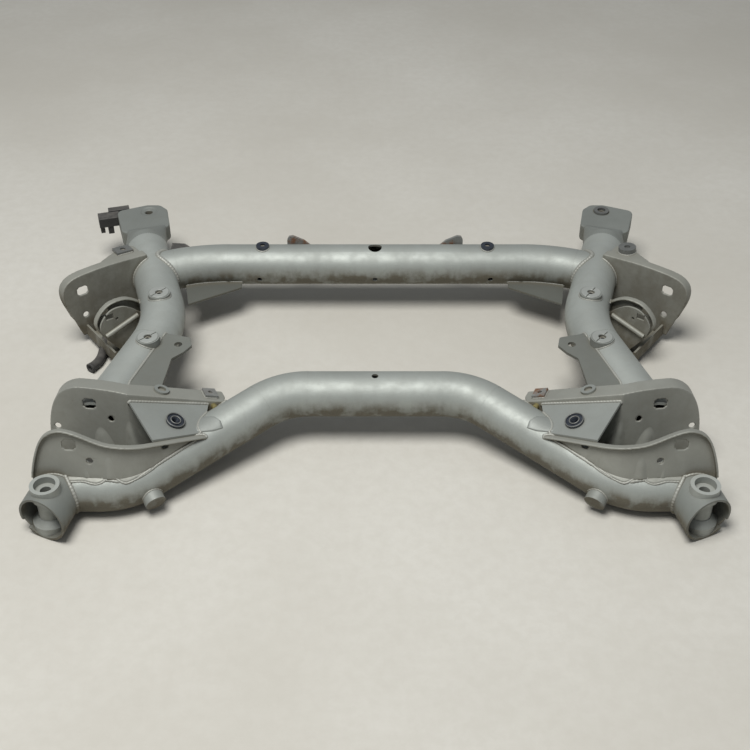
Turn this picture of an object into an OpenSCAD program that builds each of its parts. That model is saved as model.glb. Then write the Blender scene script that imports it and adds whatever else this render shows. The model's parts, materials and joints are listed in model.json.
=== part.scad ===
// Tubular front axle subframe: bent front tube, rear tube, curved rails and pressed control arm ears.
// Millimetres, +X to the right, +Y to the rear, +Z up, origin on the floor under the middle.

/* [Tubes] */
// Outer diameter of the crossmembers
tube_d = 61; // [57:1:62]
// Outer diameter of the side rails
rail_d = 64; // [63:1:68]
// Wall of the crossmembers and rails
tube_wall = 3; // [2:0.5:4]

/* [Front crossmember] */
// Rear offset of the middle run
front_y = -130; // [-135:1:-125]
// Height of the middle run
front_z = 65; // [60:1:70]
// Distance from the centre to the inner knee
knee_x = 125; // [115:1:135]
// Distance from the centre to the outer knee
foot_x = 314; // [308:1:320]
// Rear offset of the outer runs
foot_y = -278; // [-281:1:-275]
// Bend radius of both knees
front_bend_r = 100; // [90:1:110]
// Hole in the top of the middle run
drain_d = 9; // [6:1:12]

/* [Rear crossmember] */
// Rear offset of the straight run
rear_y = 181; // [176:1:186]
// Half length of the straight run
rear_half = 225; // [215:1:235]
// Sweep of the end bends
rear_turn = 20; // [15:1:25]
// Bend radius of the ends
rear_bend_r = 240; // [220:5:260]
// Spacing of the threaded bosses
boss_gap = 344; // [330:1:356]
// Outer diameter of the threaded bosses on the rear tube
tube_boss_d = 20; // [18:1:22]
// Diameter of the middle hole in the top of the rear tube
rear_hole_d = 21; // [18:1:24]
// Diameter of the three small holes in the front of the rear tube
rear_drain_d = 8; // [6:1:10]

/* [Side rails] */
// Height of the rails
rail_z = 72; // [70:1:75]
// Distance from the centre to the corner of the rail
rail_apex_x = 299; // [295:1:303]
// Rear offset of that corner
rail_apex_y = 19; // [14:1:24]
// Angle of each leg to the long axis
rail_turn = 16.3; // [15:0.1:17]
// Bend radius of the rail
rail_bend_r = 200; // [180:5:220]
// Length of the rear leg
rail_rear_len = 162; // [158:1:166]
// Distance from the centre to the mount seats
seat_x = 312; // [310:1:314]
// Rear offset of the rear pair of seats
seat_y = 51; // [46:1:56]
// Distance between the two pairs of seats
seat_gap = 109; // [104:1:112]
// Diameter of the mount seats
seat_d = 32; // [28:1:36]
// Hole in the mount seats
seat_hole_d = 10; // [8:1:12]

/* [Rear mounts] */
// Width of the flattened end
pad_w = 80; // [74:1:86]
// Height of the flattened end
pad_h = 26; // [22:1:30]
// Length of the flattened end with its neck
pad_len = 109; // [104:1:114]
// Length of the neck
pad_neck = 30; // [26:1:34]
// Offset of the flattened end towards the middle
pad_shift = 7; // [4:1:9]
// Corner radius of the flattened end
pad_r = 24; // [18:1:30]
// Distance of the mount hole from the rear edge
pad_hole_back = 21; // [18:1:26]
// Mount hole in the flattened end
pad_hole_d = 12; // [10:1:14]

/* [Front mounts] */
// Outer diameter of the short mount tubes
mount_d = 64; // [60:1:66]
// Wall of the mount tubes
mount_wall = 3; // [2.5:0.5:4]
// Distance from the centre to the sleeve axis
mount_x = 405; // [402:1:408]
// Rear offset of the sleeve axis
mount_y = -313; // [-316:1:-310]
// Yaw of the mount tubes
mount_yaw = 12; // [8:1:15]
// Length behind the sleeve axis
mount_back = 70; // [66:1:74]
// Length in front of the sleeve axis
mount_mouth = 24; // [22:1:26]
// Yaw of the open mouth to the tube
mouth_yaw = 12; // [8:1:15]
// Diameter of the sleeve collar
collar_d = 37; // [34:1:40]
// Recess in the collar
collar_bore_d = 27; // [25:1:29]
// Bolt bore of the sleeve
sleeve_bore_d = 14; // [12:1:16]
// Diameter of the slim part of the sleeve
sleeve_d = 28; // [26:1:30]
// Diameter of the foot of the sleeve
sleeve_foot_d = 46; // [42:1:50]
// Height of the foot of the sleeve
sleeve_foot_z = 14; // [12:1:16]

/* [Ears] */
// Thickness of the pressed ears
sheet = 3; // [2.5:0.5:3.5]
// Lean of the front ear of the front bracket
front_lean = 15; // [12:1:17]
// Lean of the rear ear of the front bracket
rear_lean = 10; // [8:1:12]
// Yaw of the outer face of the front ear
fe_yaw = -3; // [-5:1:-1]
// Yaw of the outer face of the inner ear
ie_yaw = -8; // [-10:1:-6]
// Depth of the lip round the front ear
lip = 6; // [4:1:8]
// Depth of the bent flange of the inner ears
flange = 22; // [18:1:24]
// Depth of the bent flange of the rear bracket ears
rear_flange = 12; // [10:1:16]
// Depth of the rim of the D-shaped ears
d_rim = 6; // [4:1:8]
// Width of the notched windows
window_w = 17; // [15:1:19]
// Height of the notched windows
window_h = 14; // [12:1:15]

/* [Rear bracket] */
// Distance from the centre to the window of the rear ear
pivot_x = 432; // [430:1:434]
// Rear offset of that window
pivot_y = 83; // [81:1:85]
// Height of that window
pivot_z = 90; // [88:1:92]
// Yaw of the ears
pivot_yaw = 37.8; // [36:0.2:39]
// Distance from the rear ear to the front ear
clevis = 60; // [56:1:64]
// Distance from the front ear to its cover
cover_gap = 15; // [12:1:17]
// Height of the lower strap above the floor
strap_z = 10; // [9:0.5:12]
// Height of the upright wall of the lower strap
strap_wall = 20; // [16:1:24]

/* [Hidden] */
ear_plate_up = 21.5;
ear_plate_fall = 5.8;
tube_r = tube_d / 2;
tube_in = tube_r - tube_wall;
rail_r = rail_d / 2;
rail_in = rail_r - tube_wall;
swell = 0.15;
lap = 1;
rear_z = rail_z;
mount_r = mount_d / 2;
mount_in = mount_r - mount_wall;
foot_z = mount_r;
front_fall = front_z - foot_z;
front_run = front_y - foot_y;
front_drop = sqrt(front_fall * front_fall + front_run * front_run);
front_slope = atan2(front_fall, front_run);
knee = atan2(front_drop, foot_x - knee_x);
mid_half = knee_x - front_bend_r * tan(knee / 2);
diag_len = (front_drop - 2 * front_bend_r * (1 - cos(knee))) / sin(knee);
diag_x = -mid_half - front_bend_r * sin(knee);
diag_y = -front_bend_r * (1 - cos(knee));
foot_cx = diag_x - diag_len * cos(knee) - front_bend_r * sin(knee);
foot_cy = diag_y - diag_len * sin(knee) + front_bend_r * cos(knee);
foot_reach = mount_x - tan(mount_yaw) * (foot_y - mount_y);
rear_end_x = -rear_half - rear_bend_r * sin(rear_turn);
rear_end_y = -rear_bend_r * (1 - cos(rear_turn));
rail_cx = -rail_apex_x - rail_bend_r / cos(rail_turn);
rail_leg_x = rail_bend_r * cos(rail_turn);
rail_leg_y = rail_bend_r * sin(rail_turn);
rail_front_len = 200;
rail_foot_x = rail_cx + rail_leg_x - rear_end_x;
rail_foot_y = rail_apex_y + rail_leg_y - rear_y - rear_end_y;
rear_meet = (rail_foot_x * cos(rail_turn) + rail_foot_y * sin(rail_turn)) / -cos(rear_turn - rail_turn);
rear_tail_len = rear_meet - 1.7;
rail_top = rail_z + rail_r;
frame_y = 4.64;
steel = [0.66, 0.68, 0.66];
shade = [0.5, 0.51, 0.49];
dark = [0.16, 0.16, 0.17];
rust = [0.5, 0.3, 0.2];
brass = [0.62, 0.58, 0.3];
tube_fn = 48;
bend_fn = 96;
hole_fn = 32;

// Front bracket, front ear: corner of the two faces at the weld line
fe_pivot = [-306, -293.5, 50];
fe_a_len = 124;
fe_b_len = 138;
fe_b_yaw = 37;
fe_corner_top = 56;
fe_tip_top = 37;
fe_crown = 77;
// Front bracket, inner ear: corner of the two faces
ie_pivot = [-316, -213, 50];
ie_a_len = 110;
ie_b_len = 132;
ie_b_yaw = 25;
ie_corner_top = 74;
ie_tip_top = 32;
ie_crown = 79;
ie_reach = ie_b_len * cos(ie_b_yaw) - 1;
ie_fall = (ie_corner_top - ie_tip_top) / ie_reach;
// Top plate of the front bracket
tp_at = [-268, -225, 90];
tp_tilt_x = 3;
tp_tilt_y = 22;

// Frame of the sloping plane of the front tube
module in_front_plane() {
  translate([0, front_y, front_z])
    rotate([front_slope, 0, 0])
      children();
}

// Runs of the front tube, left half, as round bars or bores
module front_mid(r) {
  in_front_plane()
    translate([-mid_half - lap, 0, 0])
      rotate([0, 90, 0])
        cylinder(r = r, h = 2 * (mid_half + lap), $fn = tube_fn);
}

module front_knee(r, grow = swell) {
  in_front_plane()
    translate([-mid_half, -front_bend_r, 0])
      rotate([0, 0, 90])
        rotate_extrude(angle = knee, $fn = bend_fn)
          translate([front_bend_r, 0])
            circle(r = r + grow, $fn = tube_fn);
}

module front_diag(r) {
  in_front_plane()
    translate([diag_x, diag_y, 0])
      rotate([0, 0, 180 + knee])
        translate([-lap, 0, 0])
          rotate([0, 90, 0])
            cylinder(r = r, h = diag_len + 2 * lap, $fn = tube_fn);
}

module front_foot_bend(r, grow = swell) {
  in_front_plane()
    translate([foot_cx, foot_cy, 0])
      rotate([0, 0, -90])
        rotate_extrude(angle = knee, $fn = bend_fn)
          translate([front_bend_r, 0])
            circle(r = r + grow, $fn = tube_fn);
}

module front_foot(r) {
  in_front_plane()
    translate([foot_cx + lap, foot_cy - front_bend_r, 0])
      rotate([0, -90, 0])
        cylinder(r = r, h = foot_reach + foot_cx + lap, $fn = tube_fn);
}

// Runs of the rear tube as round bars or bores
module rear_mid(r) {
  translate([-rear_half - lap, rear_y, rear_z])
    rotate([0, 90, 0])
      cylinder(r = r, h = 2 * (rear_half + lap), $fn = tube_fn);
}

module rear_bend(r, grow = swell) {
  translate([-rear_half, rear_y - rear_bend_r, rear_z])
    rotate([0, 0, 90])
      rotate_extrude(angle = rear_turn, $fn = bend_fn)
        translate([rear_bend_r, 0])
          circle(r = r + grow, $fn = tube_fn);
}

module rear_tail(r) {
  translate([rear_end_x, rear_y + rear_end_y, rear_z])
    rotate([0, 0, 180 + rear_turn])
      translate([-lap, 0, 0])
        rotate([0, 90, 0])
          cylinder(r = r, h = rear_tail_len + lap, $fn = tube_fn);
}

// Runs of the left rail as round bars or bores
module rail_bend(r, grow = swell) {
  translate([rail_cx, rail_apex_y, rail_z])
    rotate([0, 0, -rail_turn])
      rotate_extrude(angle = 2 * rail_turn, $fn = bend_fn)
        translate([rail_bend_r, 0])
          circle(r = r + grow, $fn = tube_fn);
}

module rail_rear_leg(r) {
  translate([rail_cx + rail_leg_x, rail_apex_y + rail_leg_y, rail_z])
    rotate([0, 0, 90 + rail_turn])
      translate([-lap, 0, 0])
        rotate([0, 90, 0])
          cylinder(r = r, h = rail_rear_len + lap, $fn = tube_fn);
}

module rail_front_leg(r) {
  translate([rail_cx + rail_leg_x, rail_apex_y - rail_leg_y, rail_z])
    rotate([0, 0, -90 - rail_turn])
      translate([-lap, 0, 0])
        rotate([0, 90, 0])
          cylinder(r = r, h = rail_front_len + lap, $fn = tube_fn);
}

// Frame at the rear end of the left rail, +X along the rail
module at_rail_end() {
  translate([rail_cx + rail_leg_x, rail_apex_y + rail_leg_y, rail_z])
    rotate([0, 0, 90 + rail_turn])
      translate([rail_rear_len, 0, 0])
        children();
}

// Frame at the left sleeve axis, on the floor
module at_mount() {
  translate([-mount_x, mount_y, 0])
    rotate([0, 0, -mount_yaw])
      children();
}

module mount_bar(r) {
  at_mount()
    difference() {
      translate([0, mount_back, mount_r])
        rotate([90, 0, 0])
          cylinder(r = r, h = mount_back + mount_mouth + 40, $fn = tube_fn);
      translate([0, -mount_mouth, mount_r])
        rotate([0, 0, -mouth_yaw])
          translate([-100, -100, -100])
            cube([200, 100, 200]);
    }
}

// Point s along a face and d behind it
function along(yaw, s, d) = [s * cos(yaw) - d * sin(yaw), s * sin(yaw) + d * cos(yaw)];

// Point of the bent corner line at depth d
function mitre(a, b, d) = [-sin(a) - sin(b), cos(a) + cos(b)] * d / (1 + cos(a - b));

// Smooth line through the points of p, n pieces between each two
function spline_at(a, b, c, d, t) =
  (2 * b + (c - a) * t + (2 * a - 5 * b + 4 * c - d) * t * t + (3 * b - a - 3 * c + d) * t * t * t) / 2;
function spline(p, n = 4) = concat(
  [for (i = [0:len(p) - 2]) for (k = [0:n - 1])
    spline_at(p[max(i - 1, 0)], p[i], p[i + 1], p[min(i + 2, len(p) - 1)], k / n)],
  [p[len(p) - 1]]);

// Plan band of a two-faced sheet, from depth d0 to d1 behind its corner line
module plan_band(a_len, b_len, a_yaw, b_yaw, d0, d1) {
  polygon([
    along(a_yaw, -a_len, d0),
    mitre(a_yaw, b_yaw, d0),
    along(b_yaw, b_len, d0),
    along(b_yaw, b_len, d1),
    mitre(a_yaw, b_yaw, d1),
    along(a_yaw, -a_len, d1)
  ]);
}

module band_solid(a_len, b_len, a_yaw, b_yaw, d0, d1) {
  translate([0, 0, -60])
    linear_extrude(height = 200)
      plan_band(a_len, b_len, a_yaw, b_yaw, d0, d1);
}

// Front view outline swept along Y
module front_view() {
  rotate([90, 0, 0])
    translate([0, 0, -150])
      linear_extrude(height = 300)
        children();
}

module window() {
  square([window_w, window_h - 4], center = true);
  square([window_w - 5, window_h], center = true);
}

module rounded(r) {
  offset(r = r, $fn = hole_fn)
    offset(r = -2 * r, $fn = hole_fn)
      offset(r = r, $fn = hole_fn)
        children();
}

module at_front_ear() {
  translate(fe_pivot)
    rotate([-front_lean, 0, 0])
      children();
}

module at_inner_ear() {
  translate(ie_pivot)
    rotate([-rear_lean, 0, 0])
      children();
}

module front_ear_outline() {
  polygon(concat(
    spline([[-fe_a_len + 2, -14], [-fe_a_len + 4, 20], [-fe_a_len + 13, fe_crown - 24], [-fe_a_len + 24, fe_crown - 7],
      [-fe_a_len + 42, fe_crown], [-fe_a_len + 62, fe_crown - 4], [-30, fe_corner_top + 4], [0, fe_corner_top - 2],
      [52, fe_corner_top - 10], [106, fe_tip_top]]),
    [[106, 20], [0, -12]]));
}

module inner_ear_outline() {
  polygon(concat(
    spline([[-ie_a_len + 4, -20], [-ie_a_len + 3, 14], [-ie_a_len + 8, 44], [-ie_a_len + 19, ie_crown - 13],
      [-ie_a_len + 38, ie_crown - 1], [-ie_a_len + 62, ie_crown], [-20, ie_corner_top + 3], [0, ie_corner_top]]),
    [[ie_reach, ie_tip_top], [ie_reach, -20]]));
}

// A pressed ear starts as its full depth, and a pocket inside the outline leaves the sheet and its lip
module left_front_ear() {
  color(shade)
    difference() {
      at_front_ear()
        difference() {
          intersection() {
            band_solid(fe_a_len, fe_b_len, fe_yaw, fe_b_yaw, -sheet - lip, 0);
            front_view()
              difference() {
                front_ear_outline();
                translate([-71, fe_crown - 21]) window();
                translate([-47, fe_crown - 43]) circle(d = 8, $fn = hole_fn);
                translate([42, fe_tip_top + 4]) circle(d = 8, $fn = hole_fn);
              }
          }
          intersection() {
            band_solid(fe_a_len + 20, fe_b_len + 20, fe_yaw, fe_b_yaw, -sheet - lip - 10, -sheet);
            front_view() {
              offset(delta = -sheet) front_ear_outline();
              translate([-180, -60]) square([360, 72]);
              translate([90, -60]) square([60, 160]);
            }
          }
        }
      front_diag(tube_r);
      front_foot_bend(tube_r);
      front_foot(tube_r);
      mount_bar(mount_r);
    }
}

module left_inner_ear() {
  color(shade)
    difference() {
      at_inner_ear()
        difference() {
          intersection() {
            band_solid(ie_a_len, ie_b_len, ie_yaw, ie_b_yaw, -sheet, flange);
            front_view()
              difference() {
                inner_ear_outline();
                translate([-50, ie_corner_top - 18]) window();
                translate([-96, 20]) circle(d = 8, $fn = hole_fn);
                translate([-23, 36]) circle(d = 8, $fn = hole_fn);
              }
          }
          intersection() {
            band_solid(ie_a_len + 20, ie_b_len + 20, ie_yaw, ie_b_yaw, 0, flange + 10);
            front_view() {
              offset(delta = -sheet) inner_ear_outline();
              translate([-200, -60]) square([400, 82]);
              translate([ie_reach - 3, -60]) square([60, 160]);
            }
          }
        }
      front_diag(tube_r);
    }
}

// Space in front of the back face of the inner ear
module inner_ear_front() {
  at_inner_ear() band_solid(ie_a_len + 40, ie_b_len + 40, ie_yaw, ie_b_yaw, -90, 0);
}

// Space behind the front face of the inner ear
module inner_ear_behind() {
  at_inner_ear() band_solid(ie_a_len + 40, ie_b_len + 40, ie_yaw, ie_b_yaw, -sheet, 70);
}

// Space in front of the back face of the front ear
module front_ear_ahead() {
  at_front_ear() band_solid(fe_a_len + 40, fe_b_len + 40, fe_yaw, fe_b_yaw, -70, 0);
}

// Frame on the sloping flange of the inner ear, at x along the face and d behind it
module on_flange(x, d) {
  across = x * cos(ie_b_yaw) - d * sin(ie_b_yaw);
  at_inner_ear()
    translate([across, x * sin(ie_b_yaw) + d * cos(ie_b_yaw), ie_corner_top - across * ie_fall])
      rotate([0, atan(ie_fall), 0])
        rotate([0, 0, ie_b_yaw])
          children();
}

module left_top_plate() {
  color(steel)
    difference() {
      translate(tp_at)
        rotate([tp_tilt_x, tp_tilt_y, 0])
          difference() {
            linear_extrude(height = sheet)
              polygon([[-72, 50], [-54, 25], [-6, -40], [10, -60], [50, -22], [50, 70]]);
            translate([12, 9, -1]) cylinder(d = 18, h = 8, $fn = hole_fn);
          }
      inner_ear_behind();
      front_ear_ahead();
      front_diag(tube_r);
    }
}

module left_top_boss() {
  translate(tp_at)
    rotate([tp_tilt_x, tp_tilt_y, 0])
      translate([12, 9, 0])
        difference() {
          union() {
            translate([0, 0, -8]) cylinder(d = 18, h = 8 + sheet, $fn = hole_fn);
            translate([0, 0, sheet]) cylinder(d = 24, h = 2.5, $fn = hole_fn);
          }
          translate([0, 0, -10]) cylinder(d = 10, h = 30, $fn = hole_fn);
        }
}

module left_eyelet() {
  on_flange(48, flange / 2 + 1)
    difference() {
      cylinder(d = 20, h = 3, $fn = hole_fn);
      translate([0, 0, -1]) cylinder(d = 11, h = 6, $fn = hole_fn);
    }
}

module left_nut_plate() {
  on_flange(112, flange / 2 + 1)
    difference() {
      translate([-9, -9, 0]) cube([18, 18, 4]);
      translate([0, 0, -1]) cylinder(d = 6, h = 8, $fn = hole_fn);
    }
}

module left_stud() {
  difference() {
    at_inner_ear()
      rotate([0, 0, ie_b_yaw])
        translate([112, -sheet, ie_tip_top - 2])
          rotate([90, 0, 0])
            cylinder(d = 8, h = 8, $fn = hole_fn);
    front_diag(tube_r);
  }
}

module left_side_rail() {
  color(steel)
    union() {
      difference() {
        rail_bend(rail_r);
        rail_bend(rail_in, -swell);
        seat_holes();
      }
      difference() {
        rail_rear_leg(rail_r);
        rail_rear_leg(rail_in);
      }
      difference() {
        rail_front_leg(rail_r);
        rail_front_leg(rail_in);
        inner_ear_front();
        seat_holes();
      }
    }
}

module rear_mount_outline() {
  translate([0, -pad_shift])
    rounded(pad_r / 2)
      polygon([[pad_neck, -pad_w / 2 + 4], [pad_len - pad_r, -pad_w / 2], [pad_len - 6, -pad_w / 2 + 9],
        [pad_len, -pad_w / 2 + 30], [pad_len - 6, pad_w / 2], [pad_neck + 8, pad_w / 2], [pad_neck, pad_w / 2 - 6]]);
}

module left_rear_mount() {
  color(steel)
    difference() {
      at_rail_end()
        difference() {
          union() {
            hull() {
              rotate([0, 90, 0]) cylinder(r = rail_r, h = 1, $fn = tube_fn);
              translate([pad_neck + 6, -pad_w / 2 + 10 - pad_shift, -pad_h / 2]) cube([1, pad_w - 20, pad_h]);
            }
            translate([0, 0, -pad_h / 2])
              linear_extrude(height = pad_h)
                rear_mount_outline();
          }
          translate([pad_len - pad_hole_back, -pad_shift - 10, -pad_h])
            cylinder(d = pad_hole_d, h = 2 * pad_h, $fn = hole_fn);
          translate([pad_len - pad_hole_back, -pad_shift - 10, pad_h / 2 - 1.5])
            cylinder(d = 26, h = 10, $fn = hole_fn);
        }
      rear_tail(tube_r);
    }
}

module left_front_mount_tube() {
  color(steel)
    difference() {
      mount_bar(mount_r);
      at_mount() {
        translate([0, mount_back + 10, mount_r])
          rotate([90, 0, 0])
            cylinder(r = mount_in, h = mount_back + mount_mouth + 80, $fn = tube_fn);
        translate([0, 0, mount_r]) cylinder(d = collar_d, h = mount_r + 20, $fn = hole_fn);
        translate([0, 0, -1]) cylinder(d = sleeve_bore_d + 4, h = mount_r, $fn = hole_fn);
        translate([-mount_r - 5, -mount_mouth - 20, mount_r - 22]) cube([18, 30, 12]);
      }
    }
}

module left_front_sleeve() {
  color(shade)
    at_mount()
      difference() {
        union() {
          translate([0, 0, mount_r + 18]) cylinder(d = collar_d, h = mount_r - 12, $fn = hole_fn);
          intersection() {
            union() {
              cylinder(d = sleeve_d, h = mount_d, $fn = tube_fn);
              cylinder(d = sleeve_foot_d, h = sleeve_foot_z, $fn = tube_fn);
              translate([0, 0, sleeve_foot_z - 0.5])
                cylinder(d1 = sleeve_foot_d - 1, d2 = sleeve_d + 2, h = 8, $fn = tube_fn);
            }
            translate([0, 60, mount_r])
              rotate([90, 0, 0])
                cylinder(r = mount_in, h = 120, $fn = tube_fn);
          }
        }
        translate([0, 0, -1]) cylinder(d = sleeve_bore_d, h = 100, $fn = hole_fn);
        translate([0, 0, mount_d - 4]) cylinder(d = collar_bore_d, h = 20, $fn = hole_fn);
      }
}

// Frame of the rear bracket at distance s along its bolt line, X in the ear, Y up, Z along the bolt
module at_clevis(s) {
  translate([-pivot_x, pivot_y, 0])
    rotate([90, 0, pivot_yaw])
      translate([0, 0, s])
        children();
}

module rear_ear_outline() {
  polygon(concat(
    spline([[-6, strap_z + sheet - 12], [-22, 50], [-30, 76], [-31, pivot_z + 4], [-25, pivot_z + 17],
      [-9, pivot_z + 25], [26, pivot_z + 27], [60, pivot_z + 25.5]]),
    [[110, pivot_z + 20.5], [110, 34], [20, strap_z + sheet - 12]]));
}

module left_rear_ear() {
  color(shade)
    difference() {
      union() {
        at_clevis(-rear_flange)
          difference() {
            linear_extrude(height = rear_flange + sheet)
              difference() {
                rear_ear_outline();
                translate([0, pivot_z]) window();
                translate([-1, pivot_z - 42]) circle(d = 9, $fn = hole_fn);
                translate([-60, -40]) square([200, 40 + strap_z + sheet]);
              }
            translate([0, 0, -1])
              linear_extrude(height = rear_flange + 1) {
                offset(delta = -sheet) rear_ear_outline();
                translate([-60, -40]) square([200, 84]);
              }
          }
        at_clevis(-54)
          translate([66, pivot_z + ear_plate_up, 0])
            rotate([-90, 0, -ear_plate_fall])
              translate([0, -54, 0])
                linear_extrude(height = sheet)
                  polygon([[-24, 2], [-24, 13], [2, 27], [16, 39], [30, 42], [40, 30], [40, 2]]);
      }
      rail_bend(rail_r);
      rail_rear_leg(rail_r);
      rear_tail(tube_r);
      hull_clear();
    }
}

// Space taken by the neck of the rear mount
module hull_clear() {
  at_rail_end()
    translate([0, -pad_w / 2, -pad_h])
      cube([pad_len, pad_w, 2 * pad_h]);
}

module d_outline() {
  polygon(concat(
    spline([[20, strap_z + sheet], [2, 33], [-14, 61], [-13, 78], [0, 92], [16, 98], [41, 94], [72, 69], [90, 52]]),
    [[90, 30], [52, strap_z + sheet]]));
}

module d_cover_outline() {
  polygon(concat(
    spline([[18, strap_z + sheet], [4, 32], [-10, 55], [-12, 74], [4, 91], [24, 92], [40, 82], [53, 69], [70, 50]]),
    [[80, 30], [52, strap_z + sheet]]));
}

module left_d_ear() {
  color(shade)
    difference() {
      at_clevis(clevis)
        difference() {
          linear_extrude(height = sheet + d_rim)
            difference() {
              d_outline();
              translate([3, pivot_z - 7]) square([window_w - 5, window_h - 5], center = true);
            }
          translate([0, 0, sheet])
            linear_extrude(height = d_rim + 1) {
              offset(delta = -sheet) d_outline();
              translate([-60, -40]) square([200, 40 + strap_z + sheet + 8]);
            }
        }
      rail_bend(rail_r);
      rail_rear_leg(rail_r);
    }
}

module left_d_cover() {
  color(shade)
    difference() {
      union() {
        at_clevis(clevis + cover_gap)
          linear_extrude(height = sheet)
            difference() {
              d_cover_outline();
              translate([3, pivot_z - 7]) square([window_w - 5, window_h - 5], center = true);
              translate([14, pivot_z - 14]) circle(d = 5, $fn = hole_fn);
            }
        at_clevis(clevis + cover_gap + sheet + 1.2)
          translate([-7, 53.5])
            rotate([0, 90, 16.3])
              cylinder(d = 8, h = 56, $fn = hole_fn);
      }
      rail_bend(rail_r);
      rail_rear_leg(rail_r);
    }
}

module left_strap() {
  color(shade)
    translate([-pivot_x, pivot_y, strap_z])
      rotate([0, 0, pivot_yaw]) {
        translate([-4, -92, 0]) cube([58, 92, sheet]);
        translate([-4, -92, 0]) cube([sheet, 92 - sheet, strap_wall]);
      }
}

module left_web_plate() {
  color(steel)
    difference() {
      translate([0, 0, rail_z + 20])
        linear_extrude(height = sheet + 1)
          difference() {
            rounded(5)
              polygon([[-312, -20], [-286, -36], [-256, -44], [-252, -62], [-262, -78], [-276, -92],
                [-284, -190], [-330, -200]]);
            translate([-271, -60]) circle(d = 11, $fn = hole_fn);
          }
      rail_bend(rail_r);
      rail_front_leg(rail_r);
      inner_ear_front();
    }
}

module seat_holes() {
  for (y = [seat_y, seat_y - seat_gap])
    translate([-seat_x, y, rail_z + rail_r / 2]) cylinder(d = seat_hole_d, h = rail_r, $fn = hole_fn);
}

module left_seats() {
  for (y = [seat_y, seat_y - seat_gap])
    difference() {
      translate([-seat_x, y, rail_top - 8]) cylinder(d = seat_d, h = 11, $fn = tube_fn);
      seat_holes();
      rail_bend(rail_r);
      rail_front_leg(rail_r);
    }
}

module left_gusset() {
  color(steel)
    difference() {
      translate([0, 0, rear_z - 18])
        linear_extrude(height = sheet)
          polygon([[-292, 176], [-204, 176], [-204, 139], [-280, 94], [-290, 150]]);
      rear_mid(tube_r);
      rear_bend(tube_r);
      rear_tail(tube_r);
      rail_bend(rail_r);
      rail_rear_leg(rail_r);
    }
}

module left_tube_boss() {
  difference() {
    translate([-boss_gap / 2, rear_y, rear_z + tube_r - 5]) cylinder(d = tube_boss_d, h = 9, $fn = hole_fn);
    translate([-boss_gap / 2, rear_y, rear_z]) cylinder(d = 8, h = 60, $fn = hole_fn);
    rear_mid(tube_r);
  }
}

module left_upright_tab() {
  difference() {
    translate([-136, rear_y + tube_r - 6, rear_z])
      rotate([90, 0, 0])
        translate([0, 0, -4])
          linear_extrude(height = 4)
            polygon([[0, 4], [38, 4], [38, 16], [26, 27], [9, 35], [3, 34], [0, 28]]);
    rear_mid(tube_r);
  }
}

module left_side_tab() {
  color(shade)
    at_clevis(-24)
      translate([84, pivot_z + ear_plate_up + sheet - 18 * tan(ear_plate_fall), 0])
        rotate([-90, 0, -ear_plate_fall])
          difference() {
            translate([-13, -9, 0]) cube([26, 18, 4]);
            translate([0, 0, -1]) cylinder(d = 8, h = 8, $fn = hole_fn);
          }
}

module right_side_disc() {
  color(shade)
    mirror([1, 0, 0])
      at_clevis(-24)
        translate([84, pivot_z + ear_plate_up + sheet - 18 * tan(ear_plate_fall), 0])
          rotate([-90, 0, -ear_plate_fall])
            difference() {
              cylinder(d = 26, h = 8, $fn = tube_fn);
              translate([0, 0, 4]) cylinder(d = 9, h = 8, $fn = hole_fn);
            }
}

module right_mount_washer() {
  color(shade)
    mirror([1, 0, 0])
      at_rail_end()
        translate([pad_len - pad_hole_back, -pad_shift - 10, pad_h / 2 - 1.5])
          difference() {
            cylinder(d = 24, h = 4, $fn = tube_fn);
            translate([0, 0, -1]) cylinder(d = pad_hole_d + 1, h = 8, $fn = hole_fn);
          }
}

module left_clip() {
  color(dark)
    difference() {
      at_rail_end()
        translate([pad_len - pad_hole_back, pad_w / 2 - pad_shift + 3, 2]) {
          translate([0, -6, -8]) cube([22, 34, 16]);
          translate([2, 6, -22]) cube([14, 9, 18]);
          translate([4, 20, -20]) cube([10, 7, 16]);
          translate([18, -24, 2]) cube([12, 34, 9]);
        }
      at_rail_end()
        translate([0, 0, -pad_h / 2])
          linear_extrude(height = pad_h)
            rear_mount_outline();
    }
}

module left_blade() {
  color(dark)
    difference() {
      translate([0, 0, rear_z + 8])
        linear_extrude(height = 4)
          polygon([[-318, 196], [-318, 224], [-298, 222], [-288, 212], [-288, 200]]);
      rear_bend(tube_r);
      rear_tail(tube_r);
      rail_rear_leg(rail_r);
      hull_clear();
    }
}

module left_hook() {
  color(dark)
    translate([-405, 16, strap_z / 2])
      rotate([0, 0, 100]) {
        rotate_extrude(angle = 150, $fn = bend_fn)
          translate([13, 0])
            circle(d = strap_z, $fn = hole_fn);
        translate([13, 1, 0])
          rotate([90, 0, 0])
            cylinder(d = strap_z - 0.4, h = 22, $fn = hole_fn);
      }
}

module left_stub() {
  difference() {
    translate([-297, -262, 36])
      rotate([0, 111, -58])
        cylinder(d = 27, h = 42, $fn = tube_fn);
    front_diag(tube_r);
    front_foot_bend(tube_r);
  }
}

module front_outer_half() {
  difference() {
    front_knee(tube_r);
    front_knee(tube_in, -swell);
  }
  difference() {
    front_diag(tube_r);
    front_diag(tube_in);
  }
  difference() {
    front_foot_bend(tube_r);
    front_foot_bend(tube_in, -swell);
  }
  difference() {
    front_foot(tube_r);
    front_foot(tube_in);
    mount_bar(mount_r);
  }
}

module front_crossmember() {
  color(steel)
    union() {
      difference() {
        front_mid(tube_r);
        front_mid(tube_in);
        translate([0, front_y, front_z]) cylinder(d = drain_d, h = 60, $fn = hole_fn);
      }
      front_outer_half();
      mirror([1, 0, 0]) front_outer_half();
    }
}

module rear_outer_bar(r, grow) {
  rear_bend(r, grow);
  rear_tail(r);
}

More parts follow.
